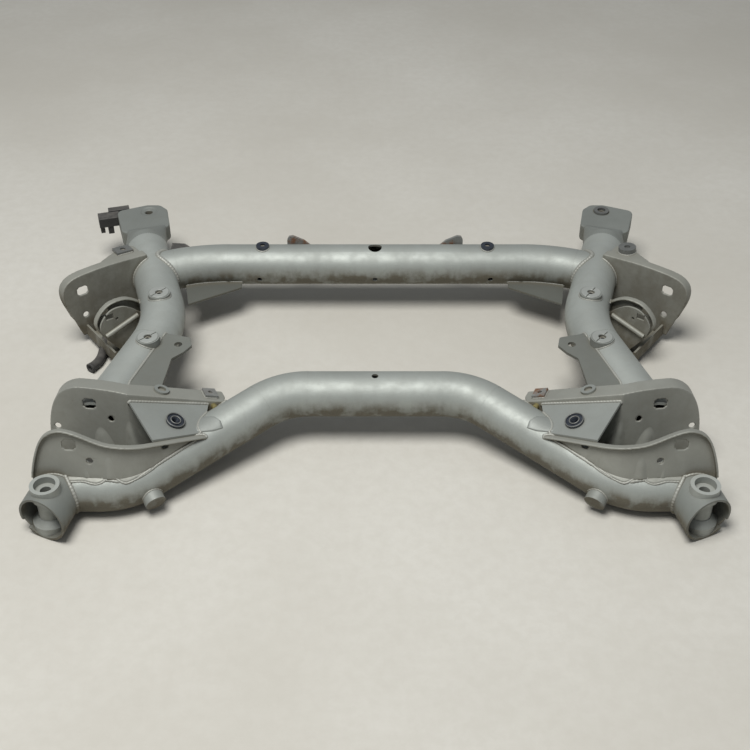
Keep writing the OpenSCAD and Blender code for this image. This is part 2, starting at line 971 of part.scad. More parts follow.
module rear_crossmember() {
  color(steel)
    difference() {
      union() {
        rear_mid(tube_r);
        both() rear_outer_bar(tube_r, swell);
      }
      rear_mid(tube_in);
      both() rear_outer_bar(tube_in, -swell);
      both() rail_rear_leg(rail_r);
      for (x = [-boss_gap / 2, boss_gap / 2])
        translate([x, rear_y, rear_z]) cylinder(d = 8, h = 60, $fn = hole_fn);
      translate([0, rear_y, rear_z]) cylinder(d = rear_hole_d, h = 60, $fn = hole_fn);
      for (x = [-177, 0, 177])
        translate([x, rear_y, rear_z])
          rotate([108, 0, 0])
            cylinder(d = rear_drain_d, h = 60, $fn = hole_fn);
    }
}

module both() {
  children();
  mirror([1, 0, 0]) children();
}

// Puts the middle of the frame over the origin
module place() {
  translate([0, frame_y, 0])
    children();
}

place() front_crossmember();
place() rear_crossmember();
place() left_side_rail();
place() mirror([1, 0, 0]) left_side_rail();  // right_side_rail
place() left_rear_mount();
place() mirror([1, 0, 0]) left_rear_mount();  // right_rear_mount
place() left_front_mount_tube();
place() mirror([1, 0, 0]) left_front_mount_tube();  // right_front_mount_tube
place() left_front_sleeve();
place() mirror([1, 0, 0]) left_front_sleeve();  // right_front_sleeve
place() left_front_ear();
place() mirror([1, 0, 0]) left_front_ear();  // right_front_ear
place() left_inner_ear();
place() mirror([1, 0, 0]) left_inner_ear();  // right_inner_ear
place() left_top_plate();
place() mirror([1, 0, 0]) left_top_plate();  // right_top_plate
place() color(dark) both() left_top_boss();  // top_plate_bosses
place() color(steel) both() left_eyelet();  // flange_eyelets
place() color(rust) both() left_nut_plate();  // flange_nut_plates
place() color(brass) both() left_stud();  // flange_studs
place() left_rear_ear();
place() mirror([1, 0, 0]) left_rear_ear();  // right_rear_ear
place() left_d_ear();
place() mirror([1, 0, 0]) left_d_ear();  // right_d_ear
place() left_d_cover();
place() mirror([1, 0, 0]) left_d_cover();  // right_d_cover
place() left_strap();
place() mirror([1, 0, 0]) left_strap();  // right_strap
place() left_web_plate();
place() mirror([1, 0, 0]) left_web_plate();  // right_web_plate
place() color(steel) both() left_seats();  // mount_seats
place() left_gusset();
place() mirror([1, 0, 0]) left_gusset();  // right_gusset
place() color(shade) both() left_tube_boss();  // rear_tube_bosses
place() color(rust) both() left_upright_tab();  // upright_tabs
place() left_side_tab();
place() right_side_disc();
place() right_mount_washer();
place() left_clip();
place() left_blade();
place() left_hook();
place() color(steel) both() left_stub();  // front_stubs
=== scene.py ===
import json
import math
import random

import bmesh
import bpy
import numpy as np
from mathutils import Matrix, Vector
from mathutils.bvhtree import BVHTree


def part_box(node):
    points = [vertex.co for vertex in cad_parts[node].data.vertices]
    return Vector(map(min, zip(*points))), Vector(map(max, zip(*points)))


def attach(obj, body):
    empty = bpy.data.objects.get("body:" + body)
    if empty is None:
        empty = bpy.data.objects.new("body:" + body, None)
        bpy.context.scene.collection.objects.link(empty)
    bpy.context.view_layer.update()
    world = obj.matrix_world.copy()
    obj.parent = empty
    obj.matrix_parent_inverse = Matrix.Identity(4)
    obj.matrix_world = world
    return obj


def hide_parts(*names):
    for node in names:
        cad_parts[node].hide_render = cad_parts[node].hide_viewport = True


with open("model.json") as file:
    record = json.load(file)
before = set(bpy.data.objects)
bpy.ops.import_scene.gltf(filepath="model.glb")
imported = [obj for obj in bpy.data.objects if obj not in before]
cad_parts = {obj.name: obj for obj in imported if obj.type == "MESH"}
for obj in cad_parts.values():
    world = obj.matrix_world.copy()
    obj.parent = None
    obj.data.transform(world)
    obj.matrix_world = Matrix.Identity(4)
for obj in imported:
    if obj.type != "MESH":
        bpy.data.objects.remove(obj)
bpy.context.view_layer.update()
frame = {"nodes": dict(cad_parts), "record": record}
nodes = frame["nodes"]
random.seed(7)
scene = bpy.context.scene

# Camera of the photograph, in metres and in pixels of its square frame
EYE = Vector((0.0, -1.38336, 1.080))
PITCH = math.radians(38)
FOCAL = 1200.0
FRAME = 750.0
HALF = FRAME / 2
SENSOR = 36.0

cam_data = bpy.data.cameras.new("photo_camera")
cam_data.sensor_width = SENSOR
cam_data.lens = SENSOR * FOCAL / FRAME
cam_data.clip_start = 0.05
cam_data.clip_end = 60.0
cam = bpy.data.objects.new("photo_camera", cam_data)
cam.location = EYE
cam.rotation_euler = (math.pi / 2 - PITCH, 0, 0)
scene.collection.objects.link(cam)
scene.camera = cam
scene.view_settings.view_transform = "Standard"


class Tree:
    """A material and short calls for its nodes. Noise scales are in waves per metre."""

    def __init__(self, name):
        self.mat = bpy.data.materials.new(name)
        self.mat.use_nodes = True
        self.t = self.mat.node_tree
        self.bsdf = self.t.nodes["Principled BSDF"]

    def new(self, kind, **values):
        n = self.t.nodes.new(kind)
        for k, v in values.items():
            setattr(n, k, v)
        return n

    def link(self, a, b):
        self.t.links.new(a, b)

    def coords(self):
        return self.new("ShaderNodeTexCoord").outputs["Object"]

    def noise(self, vec, scale, detail, rough=0.55):
        n = self.new("ShaderNodeTexNoise")
        n.inputs["Scale"].default_value = scale
        n.inputs["Detail"].default_value = detail
        n.inputs["Roughness"].default_value = rough
        self.link(vec, n.inputs["Vector"])
        return n.outputs["Fac"]

    def stretch(self, vec, scale):
        m = self.new("ShaderNodeMapping")
        m.inputs["Scale"].default_value = scale
        self.link(vec, m.inputs["Vector"])
        return m.outputs["Vector"]

    def span(self, value, lo, hi, a=0.0, b=1.0):
        m = self.new("ShaderNodeMapRange")
        m.clamp = True
        m.interpolation_type = "SMOOTHSTEP"
        m.inputs["From Min"].default_value = lo
        m.inputs["From Max"].default_value = hi
        m.inputs["To Min"].default_value = a
        m.inputs["To Max"].default_value = b
        self.link(value, m.inputs["Value"])
        return m.outputs["Result"]

    def math(self, op, a, b):
        m = self.new("ShaderNodeMath", operation=op)
        for i, x in enumerate((a, b)):
            if isinstance(x, (int, float)):
                m.inputs[i].default_value = x
            else:
                self.link(x, m.inputs[i])
        return m.outputs[0]

    def mix(self, fac, a, b):
        m = self.new("ShaderNodeMix", data_type="RGBA")
        self.link(fac, m.inputs["Factor"])
        for key, x in (("A", a), ("B", b)):
            socket = [s for s in m.inputs if s.name == key and s.type == "RGBA"][0]
            if isinstance(x, tuple):
                socket.default_value = (*x, 1.0)
            else:
                self.link(x, socket)
        return [s for s in m.outputs if s.type == "RGBA"][0]

    def bump(self, height, distance, strength, before=None):
        b = self.new("ShaderNodeBump")
        b.inputs["Distance"].default_value = distance
        b.inputs["Strength"].default_value = strength
        self.link(height, b.inputs["Height"])
        if before is not None:
            self.link(before, b.inputs["Normal"])
        return b.outputs["Normal"]

    def axis(self, vec, name):
        s = self.new("ShaderNodeSeparateXYZ")
        self.link(vec, s.inputs[0])
        return s.outputs[name]

    def normal_z(self):
        return self.axis(self.new("ShaderNodeNewGeometry").outputs["Normal"], "Z")

    def crevice(self, distance):
        a = self.new("ShaderNodeAmbientOcclusion", samples=6)
        a.inputs["Distance"].default_value = distance
        return a.outputs["AO"]


def scaled(c, k):
    return tuple(min(1.0, x * k) for x in c)


# Dark and light tones of the dirt and painted shade, of rust specks in paint and of rust on bare steel
DIRT_AND_SHADE_TONES = (0.066, 0.055, 0.034), (0.160, 0.140, 0.098)
SPECK = (0.050, 0.026, 0.013), (0.160, 0.075, 0.030)
RUST = (0.070, 0.030, 0.013), (0.260, 0.115, 0.045)


def paint(name, base, metal, rough, dirt_and_shade, rust, low=0.0, corners=(0.85, 0.25), sides=(0.45, -0.60)):
    """Satin silver paint with mottling, flake, dirt, painted shade on downward faces and in corners, and
    rust specks.

    corners: openness at which dirt and painted shade in a corner start and are full.
    sides: upward share of the surface normal at which dirt and painted shade start and are full.
    """
    t = Tree(name)
    p = t.coords()
    broad = t.noise(p, 9.0, 3.0)
    blotch = t.noise(p, 48.0, 5.0, 0.6)
    fine = t.noise(p, 420.0, 4.0, 0.6)
    flake = t.noise(p, 2600.0, 2.0, 0.5)
    streak = t.noise(t.stretch(p, (60.0, 60.0, 9.0)), 1.0, 4.0, 0.6)
    colour = t.mix(t.span(broad, 0.3, 0.7), scaled(base, 0.9), scaled(base, 1.07))
    colour = t.mix(t.span(blotch, 0.35, 0.72, 0.0, 0.35), colour, scaled(base, 0.85))
    colour = t.mix(t.span(flake, 0.42, 0.62, 0.0, 0.22), colour, scaled(base, 1.18))
    # Dirt and painted shade where the surface looks down, darker near the floor, and dirt and painted shade
    # in the corners
    under = t.span(t.normal_z(), *sides)
    lower = t.span(t.axis(p, "Z"), 0.060, 0.0, 0.0, 0.6 + low)
    corner_dirt_and_shade = t.span(t.crevice(0.014), *corners)
    cloud = t.span(t.math("ADD", blotch, t.math("MULTIPLY", streak, 0.6)), 0.58, 1.02)
    soil_and_shade = t.math("MULTIPLY", t.math("ADD", under, lower), t.math("ADD", 0.55, cloud))
    soil_and_shade = t.math("MULTIPLY", soil_and_shade, dirt_and_shade)
    soil_and_shade = t.math("MAXIMUM", soil_and_shade, t.math("MULTIPLY", corner_dirt_and_shade, dirt_and_shade * 1.1))
    soil_and_shade = t.math("MAXIMUM", soil_and_shade, t.math("MULTIPLY", cloud, dirt_and_shade * 0.10))
    soil_and_shade = t.math("MINIMUM", soil_and_shade, 0.9)
    # The dirt tones here paint the shade as well as the dirt
    colour = t.mix(soil_and_shade, colour, t.mix(fine, *DIRT_AND_SHADE_TONES))
    # Rust specks and small chips
    speck = t.math("MULTIPLY", t.span(t.noise(p, 210.0, 3.0, 0.7), 0.70, 0.76),
                   t.span(blotch, 0.46, 0.60))
    speck = t.math("MULTIPLY", speck, rust)
    colour = t.mix(speck, colour, t.mix(fine, *SPECK))
    t.link(colour, t.bsdf.inputs["Base Color"])
    bare = t.math("SUBTRACT", 1.0, t.math("MINIMUM", t.math("ADD", soil_and_shade, speck), 1.0))
    t.link(t.math("MULTIPLY", bare, metal), t.bsdf.inputs["Metallic"])
    r = t.span(blotch, 0.3, 0.75, rough - 0.01, rough + 0.05)
    r = t.math("ADD", r, t.math("MULTIPLY", t.math("ADD", soil_and_shade, speck), 0.32))
    t.link(r, t.bsdf.inputs["Roughness"])
    n = t.bump(fine, 0.0004, 0.35)
    n = t.bump(flake, 0.00012, 0.30, n)
    n = t.bump(speck, 0.0004, 0.5, n)
    t.link(n, t.bsdf.inputs["Normal"])
    return t.mat


def steel(name, base, metal, rough, rusty, clean_side=False):
    """Bare, dark, zinc-plated or rusty steel; clean_side keeps the left of the part nearly free of rust."""
    t = Tree(name)
    p = t.coords()
    blotch = t.noise(p, 110.0, 5.0, 0.65)
    fine = t.noise(p, 700.0, 4.0, 0.6)
    brush = t.noise(t.stretch(p, (900.0, 900.0, 60.0)), 1.0, 3.0, 0.5)
    colour = t.mix(blotch, scaled(base, 0.72), scaled(base, 1.22))
    colour = t.mix(t.span(brush, 0.4, 0.7, 0.0, 0.3), colour, scaled(base, 1.4))
    patch = t.span(t.noise(p, 65.0, 6.0, 0.7), 0.68 - 0.42 * rusty, 0.86 - 0.42 * rusty)
    patch = t.math("MULTIPLY", patch, min(1.0, 0.35 + rusty))
    if clean_side:
        patch = t.math("MULTIPLY", patch, t.span(t.axis(p, "X"), -0.16, -0.13, 0.06, 1.0))
    colour = t.mix(patch, colour, t.mix(fine, *RUST))
    t.link(colour, t.bsdf.inputs["Base Color"])
    t.link(t.math("MULTIPLY", t.math("SUBTRACT", 1.0, patch), metal), t.bsdf.inputs["Metallic"])
    r = t.span(blotch, 0.3, 0.7, rough - 0.05, rough + 0.10)
    t.link(t.math("ADD", r, t.math("MULTIPLY", patch, 0.35)), t.bsdf.inputs["Roughness"])
    relief = t.math("ADD", fine, t.math("MULTIPLY", patch, 1.5))
    t.link(t.bump(relief, 0.0004, 0.5), t.bsdf.inputs["Normal"])
    return t.mat


def plastic(name, base, rough):
    """Moulded plastic, weathered to a dusty grey on its upper faces."""
    t = Tree(name)
    p = t.coords()
    blotch = t.noise(p, 90.0, 5.0, 0.6)
    grain = t.noise(p, 1500.0, 3.0, 0.6)
    up = t.span(t.normal_z(), -0.1, 0.95)
    dust = t.math("MULTIPLY", up, t.span(blotch, 0.25, 0.75, 0.25, 0.95))
    colour = t.mix(blotch, scaled(base, 0.75), scaled(base, 1.4))
    colour = t.mix(t.math("MULTIPLY", dust, 0.75), colour, (0.135, 0.127, 0.115))
    t.link(colour, t.bsdf.inputs["Base Color"])
    r = t.span(grain, 0.3, 0.7, rough - 0.05, rough + 0.05)
    t.link(t.math("ADD", r, t.math("MULTIPLY", dust, 0.2)), t.bsdf.inputs["Roughness"])
    t.link(t.bump(grain, 0.0002, 0.5), t.bsdf.inputs["Normal"])
    return t.mat


TUBE_SHADE_SIDES = (0.60, -0.45)  # painted shade, with dirt, reaches higher up the tubes than up the plates
# One material for each slot of the record, then those that scene pieces and some nodes have instead
MATS = {
    "tube_paint": paint("tube_paint", (0.360, 0.382, 0.360), 0.46, 0.54, 0.85, 0.25, sides=TUBE_SHADE_SIDES),
    "mount_paint": paint("mount_paint", (0.228, 0.243, 0.228), 0.30, 0.52, 0.75, 0.30),
    # The sleeve paint is lighter than its own tone: painted light on the sleeves inside the front mount
    # tubes
    "sleeve_paint": paint("sleeve_paint", (0.385, 0.405, 0.382), 0.26, 0.50, 0.35, 0.30),
    "front_ear_paint": paint("front_ear_paint", (0.300, 0.305, 0.275), 0.28, 0.50, 0.80, 0.40, low=0.1),
    "rear_ear_paint": paint("rear_ear_paint", (0.285, 0.287, 0.255), 0.26, 0.52, 0.90, 0.45, low=0.1),
    "plate_paint": paint("plate_paint", (0.275, 0.292, 0.276), 0.30, 0.52, 0.68, 0.40),
    "dark_steel": steel("dark_steel", (0.085, 0.096, 0.120), 0.80, 0.36, 0.10),
    "rusty_steel": steel("rusty_steel", (0.24, 0.245, 0.235), 0.40, 0.55, 0.55, clean_side=True),
    "zinc_stud": steel("zinc_stud", (0.50, 0.43, 0.20), 0.80, 0.38, 0.12),
    "black_plastic": plastic("black_plastic", (0.028, 0.028, 0.028), 0.55),
    "worn_steel": steel("worn_steel", (0.19, 0.195, 0.188), 0.55, 0.50, 0.25),
}
# Darker copies of the plate paint for the gussets and web plates: painted shade
GUSSET_SHADE_PAINT = paint("gusset_painted_shade", (0.122, 0.127, 0.113), 0.22, 0.54, 0.80, 0.40)
WEB_SHADE_PAINT = paint("web_painted_shade", (0.172, 0.180, 0.163), 0.22, 0.54, 0.70, 0.40)
RAIL = paint("rail_paint", (0.395, 0.418, 0.395), 0.46, 0.54, 0.75, 0.25, sides=TUBE_SHADE_SIDES)
# Front ear paint whose wider corner range paints the shadow of the rim lip onto the ear's face
FRONT_EAR_RIM_SHADE = paint("front_ear_rim_shade_paint", (0.300, 0.305, 0.275), 0.28, 0.50, 0.80, 0.40, low=0.1,
                  corners=(0.97, 0.50))
WELD = paint("weld_paint", (0.365, 0.370, 0.340), 0.28, 0.48, 0.85, 0.55)
WASHER = paint("washer_paint", (0.365, 0.382, 0.362), 0.30, 0.50, 0.45, 0.35)
RUBBER = plastic("rubber", (0.018, 0.018, 0.019), 0.62)

# Each CAD node wears the material of its slot, apart from the rails in a lighter tone and the web plates
# and gussets, painted darker as painted shade
NODE_TONE_AND_SHADE = {"web_plate": WEB_SHADE_PAINT, "gusset": GUSSET_SHADE_PAINT, "side_rail": RAIL}
for sub in frame["record"]["subparts"]:
    o = nodes[sub["node"]]
    o.data.materials.clear()
    own = [mat for kind, mat in NODE_TONE_AND_SHADE.items() if sub["node"].endswith(kind)]
    o.data.materials.append(own[0] if own else MATS[sub["material_slot"]])


MERGE = 2e-6   # points nearer than this are one
SLIVER = 1e-6  # edges shorter than this go


def finish_piece(name, verts, faces, mat, smooth=True):
    """A clean mesh from points and faces, as a piece of the part."""
    me = bpy.data.meshes.new(name)
    me.from_pydata([tuple(v) for v in verts], [], [tuple(f) for f in faces])
    me.validate()
    bm = bmesh.new()
    bm.from_mesh(me)
    bmesh.ops.remove_doubles(bm, verts=bm.verts, dist=MERGE)
    bmesh.ops.dissolve_degenerate(bm, dist=SLIVER, edges=bm.edges)
    loose = [f for f in bm.faces if all(e.is_boundary for e in f.edges)]
    bmesh.ops.delete(bm, geom=loose, context="FACES")
    bmesh.ops.holes_fill(bm, edges=[e for e in bm.edges if e.is_boundary], sides=4)
    bmesh.ops.recalc_face_normals(bm, faces=bm.faces)
    bm.to_mesh(me)
    bm.free()
    if smooth:
        me.polygons.foreach_set("use_smooth", [True] * len(me.polygons))
    me.materials.append(mat)
    o = bpy.data.objects.new(name, me)
    scene.collection.objects.link(o)
    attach(o, "root")
    return o


def circle(centre, across, up, radius, n):
    """n points round a centre, in the plane of two unit vectors."""
    turns = [math.tau * k / n for k in range(n)]
    return [centre + across * (radius * math.cos(a)) + up * (radius * math.sin(a)) for a in turns]


def skin(rings, sides, closed=False, base=0):
    """Faces over a row of rings of points: joined end to end if closed, and otherwise capped."""
    faces = []
    for i in range(rings if closed else rings - 1):
        a, b = base + i * sides, base + (i + 1) % rings * sides
        for k in range(sides):
            m = (k + 1) % sides
            faces.append((a + k, a + m, b + m, b + k))
    if not closed:
        faces.append(tuple(base + k for k in range(sides)))
        faces.append(tuple(base + (rings - 1) * sides + k for k in range(sides)))
    return faces


GEO = {}
GRID = 4e4  # points of a CAD node that round to the same fortieth of a millimetre are one


def geo(name):
    """Welded vertex positions, triangles and search tree of a CAD node."""
    if name not in GEO:
        me = nodes[name].data
        co = np.empty(len(me.vertices) * 3, np.float32)
        me.vertices.foreach_get("co", co)
        co = co.reshape(-1, 3).astype(float)
        me.calc_loop_triangles()
        tri = np.empty(len(me.loop_triangles) * 3, np.int32)
        me.loop_triangles.foreach_get("vertices", tri)
        key = np.round(co * GRID).astype(np.int64)
        _, first, inv = np.unique(key, axis=0, return_index=True, return_inverse=True)
        pos = co[first]
        tri = inv.reshape(-1)[tri.reshape(-1, 3)]
        good = (tri[:, 0] != tri[:, 1]) & (tri[:, 1] != tri[:, 2]) & (tri[:, 0] != tri[:, 2])
        tri = tri[good]
        tree = BVHTree.FromPolygons([tuple(p) for p in pos], [tuple(int(i) for i in f) for f in tri])
        GEO[name] = pos, tri, tree
    return GEO[name]


def sharp_edges(name, angle=20.0):
    """Edges of a CAD node where its surface turns by more than an angle in degrees."""
    pos, tri, _ = geo(name)
    n = np.cross(pos[tri[:, 1]] - pos[tri[:, 0]], pos[tri[:, 2]] - pos[tri[:, 0]])
    n /= np.maximum(np.linalg.norm(n, axis=1, keepdims=True), 1e-15)
    seen = {}
    for f, (a, b, c) in enumerate(tri):
        for e in ((a, b), (b, c), (c, a)):
            seen.setdefault((min(e), max(e)), []).append(f)
    limit = math.cos(math.radians(angle))
    return [e for e, fs in seen.items() if len(fs) == 2 and float(n[fs[0]] @ n[fs[1]]) < limit]


def seams(a, b, near=0.0007):
    """Sharp edges of node a that lie on the surface of node b, chained into lines."""
    pos = geo(a)[0]
    tree = geo(b)[2]
    close = {}

    def on(p):
        return tree.find_nearest(Vector(p), near)[0] is not None

    links = {}
    for i, j in sharp_edges(a):
        for k in (i, j):
            if k not in close:
                close[k] = on(pos[k])
        if close[i] and close[j] and on((pos[i] + pos[j]) / 2):
            links.setdefault(i, set()).add(j)
            links.setdefault(j, set()).add(i)
    lines = []
    used = set()

    def walk(start, nxt):
        line = [start, nxt]
        used.add((min(start, nxt), max(start, nxt)))
        while True:
            here = line[-1]
            more = [k for k in links[here] if (min(here, k), max(here, k)) not in used]
            if len(links[here]) != 2 or not more:
                return line
            used.add((min(here, more[0]), max(here, more[0])))
            line.append(more[0])

    for k in sorted(links, key=lambda k: (len(links[k]) == 2, k)):
        for m in sorted(links[k]):
            if (min(k, m), max(k, m)) not in used:
                lines.append(walk(k, m))
    return [pos[line] for line in lines]


def length(line):
    return float(np.linalg.norm(np.diff(line, axis=0), axis=1).sum())


def resample(line, step):
    """Evenly spaced points along a line."""
    seg = np.linalg.norm(np.diff(line, axis=0), axis=1)
    s = np.concatenate([[0], np.cumsum(seg)])
    n = max(4, int(round(s[-1] / step)) + 1)
    t = np.linspace(0, s[-1], n)
    return np.stack([np.interp(t, s, line[:, k]) for k in range(3)], 1)


def softened(line, closed, rounds):
    """A line with its corners averaged away; the ends of an open one stay."""
    for _ in range(rounds):
        if closed:
            line = (np.roll(line, 1, 0) + 2 * line + np.roll(line, -1, 0)) / 4
        else:
            mid = (line[:-2] + 2 * line[1:-1] + line[2:]) / 4
            line = np.concatenate([line[:1], mid, line[-1:]])
    return line


RIPPLE = 0.13  # depth of a bead's ripples, as a share of its radius
BEAD_STEP = 0.0014
BEAD_PITCH = 0.0042
BEAD_SIDES = 7
DRIFT = 6  # steps over which a bead swells or thins by chance
FLOOR_GAP = 0.0003


def bead(line, radius, verts, faces, rough=0.12):
    """One weld bead along a line: a rippled round run with tapered ends."""
    closed = np.linalg.norm(line[0] - line[-1]) < 1e-5 and len(line) > 3
    pts = resample(line, BEAD_STEP)
    if closed:
        pts = pts[:-1]
    pts = softened(pts, closed, 2)
    n = len(pts)
    if n < 5:
        return
    tangent = np.roll(pts, -1, 0) - np.roll(pts, 1, 0)
    if not closed:
        tangent[0], tangent[-1] = pts[1] - pts[0], pts[-1] - pts[-2]
    tangent /= np.maximum(np.linalg.norm(tangent, axis=1, keepdims=True), 1e-12)
    side = Vector(tangent[0]).orthogonal().normalized()
    base = len(verts)
    phase = random.random() * math.tau
    wander = [random.uniform(-1, 1) for _ in range(n // DRIFT + 3)]
    for i in range(n):
        t = Vector(tangent[i])
        side = (side - t * side.dot(t)).normalized()
        w = i / DRIFT
        drift = wander[int(w)] * (1 - w % 1) + wander[int(w) + 1] * (w % 1)
        r = radius * (1 + RIPPLE * math.sin(phase + math.tau * i * BEAD_STEP / BEAD_PITCH) + rough * drift)
        if not closed:
            r *= min(1.0, 0.35 + 0.2 * min(i, n - 1 - i))
        for v in circle(Vector(pts[i]), side, t.cross(side), r, BEAD_SIDES):
            v.z = max(v.z, FLOOR_GAP)
            verts.append(v)
    faces += skin(n, BEAD_SIDES, closed, base)


def pixel(p):
    """Where a point shows in the photograph, the right side mirrored onto the left."""
    d = Vector(p) - EYE
    c, s = math.cos(PITCH), math.sin(PITCH)
    deep = d.y * c - d.z * s
    return HALF - abs(d.x) * FOCAL / deep, HALF - (d.y * s + d.z * c) * FOCAL / deep


def uncovered(line, box):
    """The stretches of a line that show outside a box of pixels (x0, y0, x1, y1)."""
    runs, run = [], []
    for p in line:
        x, y = pixel(p)
        if box[0] < x < box[2] and box[1] < y < box[3]:
            runs.append(run)
            run = []
        else:
            run.append(p)
    return [np.array(r) for r in runs + [run] if len(r) > 1]


# The front ears lean back by FOLD_LEAN and are folded at FOLD, from 3 degrees one way to 37 the other
FOLD = Vector((0.306, -0.28886, 0.050))
FOLD_LEAN = math.radians(15)
FOLD_MEAN = math.radians((37 - 3) / 2)
FOLD_HALF = math.radians((37 + 3) / 2)
EASE = 0.030  # half the length of the bend


def eased(p):
    """A point of a front ear, moved back so that the fold becomes a smooth bend."""
    side = 1.0 if p[0] > 0 else -1.0
    upright = Matrix.Rotation(FOLD_LEAN, 3, "X")
    q = upright @ Vector((FOLD.x - abs(p[0]), p[1] - FOLD.y, p[2] - FOLD.z))
    c, s = math.cos(FOLD_MEAN), math.sin(FOLD_MEAN)
    k = max(0.0, EASE - abs(q.x * c + q.y * s))
    back = math.tan(FOLD_HALF) * k * k / (2 * EASE)
    move = upright.transposed() @ Vector((-s * back, c * back, 0.0))
    return Vector((p[0] - side * move.x, p[1] + move.y, p[2] + move.z))


def eased_seam(line, tube_node):
    """A seam of a front ear, carried along with the bend and laid back on its tube."""
    tree = geo(tube_node)[2]
    return np.array([tree.find_nearest(eased(p))[0] for p in resample(line, BEAD_STEP)])


# The foot of the front ears has a scalloped weld of its own in this box of pixels
FOOT_BOX = (66.0, 470.0, 101.0, 484.0)


def weld_run(name, pairs, radius, shortest=0.006, only_longest=False):
    """Beads along the seams of pairs of nodes, as one piece."""
    verts, faces = [], []
    for a, b in pairs:
        lines = seams(a, b)
        if a.endswith("front_ear") and b == "front_crossmember":
            lines = [eased_seam(run, b) for line in lines for run in uncovered(line, FOOT_BOX)]
        lines = [line for line in lines if length(line) > shortest]
        if only_longest and lines:
            lines = [max(lines, key=length)]
        for line in lines:
            bead(line, radius, verts, faces)
    if faces:
        finish_piece(name, verts, faces, WELD)


# Radii of the beads
TUBE_BEAD = 0.0034
MOUNT_BEAD = 0.0030
RAIL_BEAD = 0.0032
FRONT_BEAD = 0.0021
PLATE_BEAD = 0.0019
SMALL_BEAD = 0.0013
for s in ("left", "right"):
    rail, front_ear, inner_ear = s + "_side_rail", s + "_front_ear", s + "_inner_ear"
    rear_ear, d_ear, strap = s + "_rear_ear", s + "_d_ear", s + "_strap"
    top_plate, web_plate, gusset = s + "_top_plate", s + "_web_plate", s + "_gusset"
    mount_tube = s + "_front_mount_tube"
    weld_run(s + "_rear_tube_weld", [("rear_crossmember", rail)], TUBE_BEAD, only_longest=True)
    weld_run(s + "_mount_tube_weld", [("front_crossmember", mount_tube)], MOUNT_BEAD, only_longest=True)
    weld_run(s + "_rail_front_weld", [(rail, "front_crossmember")], RAIL_BEAD, only_longest=True)
    weld_run(s + "_front_bracket_welds", [
        (front_ear, "front_crossmember"), (front_ear, mount_tube), (inner_ear, "front_crossmember"),
        (inner_ear, rail), (top_plate, "front_crossmember"), (top_plate, inner_ear),
        (inner_ear, front_ear), (top_plate, rail)], FRONT_BEAD)
    weld_run(s + "_rear_bracket_welds", [
        (rear_ear, rail), (rear_ear, s + "_rear_mount"), (d_ear, rail), (s + "_d_cover", rail),
        (strap, rail), (d_ear, strap), (rear_ear, strap)], PLATE_BEAD)
    weld_run(s + "_plate_welds", [
        (web_plate, rail), (web_plate, inner_ear), (gusset, "rear_crossmember"),
        (gusset, rail)], PLATE_BEAD)
weld_run("small_part_welds", [
    ("mount_seats", "left_side_rail"), ("mount_seats", "right_side_rail"),
    ("rear_tube_bosses", "rear_crossmember"), ("upright_tabs", "rear_crossmember"),
    ("front_stubs", "front_crossmember"), ("flange_nut_plates", "left_inner_ear"),
    ("flange_nut_plates", "right_inner_ear"), ("left_side_tab", "left_rear_ear"),
    ("right_side_disc", "right_rear_ear")], SMALL_BEAD)


def ray(px, py):
    """The line of sight through a pixel."""
    u, v = (px - HALF) / FOCAL, (HALF - py) / FOCAL
    c, s = math.cos(PITCH), math.sin(PITCH)
    return Vector((u, c + v * s, -s + v * c)).normalized()


# Distances from the camera for the search along a line of sight that misses its node
SEARCH_FROM = 1.3
SEARCH_STEP = 0.01
SEARCH_STEPS = 60
SEARCH_MID = 1.6


def on_node(node, px, py):
    """Where the line of sight through a pixel meets a CAD node, and the surface normal there."""
    way, tree = ray(px, py), geo(node)[2]
    loc, nor, _, _ = tree.ray_cast(EYE, way)
    if loc is None:
        reach = EYE + way * SEARCH_MID
        for k in range(SEARCH_STEPS):
            loc, nor, _, d = tree.find_nearest(EYE + way * (SEARCH_FROM + SEARCH_STEP * k))
            if loc is not None and d < (reach - Vector(loc)).length:
                reach = Vector(loc)
        loc = reach
    nor = Vector(nor)
    return Vector(loc), nor if nor.dot(way) < 0 else -nor


def spread(line, n):
    """Evenly spaced points on a smooth curve through a few pixels."""
    a = np.array(line, float)
    s = np.concatenate([[0], np.cumsum(np.linalg.norm(np.diff(a, axis=0), axis=1))])
    t = np.linspace(0, s[-1], n)
    return softened(np.stack([np.interp(t, s, a[:, 0]), np.interp(t, s, a[:, 1])], 1), False, 3)


STRIP_BED = 0.0003   # a strip's skin starts this far below the surface of its node
STRIP_ROOT = 0.0010  # and its underside lies this far below it


def strip(node, edge_a, edge_b, rise, along, across):
    """A raised strip on a node between two curves of pixels, closed below; rise(u, v) is its height."""
    a, b = spread(edge_a, along), spread(edge_b, along)
    top, low = [], []
    for i in range(along):
        for j in range(across):
            v = j / (across - 1)
            q = a[i] * (1 - v) + b[i] * v
            loc, nor = on_node(node, *q)
            top.append(loc + nor * (rise(i / (along - 1), v) - STRIP_BED))
            low.append(loc - nor * STRIP_ROOT)
    n = len(top)
    faces = []
    for i in range(along - 1):
        for j in range(across - 1):
            k = i * across + j
            faces.append((k, k + 1, k + across + 1, k + across))
            faces.append((n + k, n + k + across, n + k + across + 1, n + k + 1))
    rim = [i * across for i in range(along)] + [(along - 1) * across + j for j in range(1, across)]
    rim += [i * across + across - 1 for i in range(along - 2, -1, -1)]
    rim += list(range(across - 2, 0, -1))
    for k in range(len(rim)):
        p, q = rim[k], rim[(k + 1) % len(rim)]
        faces.append((p, q, n + q, n + p))
    return top + low, faces


def both_sides(name, verts, faces, mat):
    """The same piece on the left, as given, and mirrored on the right."""
    finish_piece("left_" + name, verts, faces, mat)
    finish_piece("right_" + name, [Vector((-v[0], v[1], v[2])) for v in verts], faces, mat)


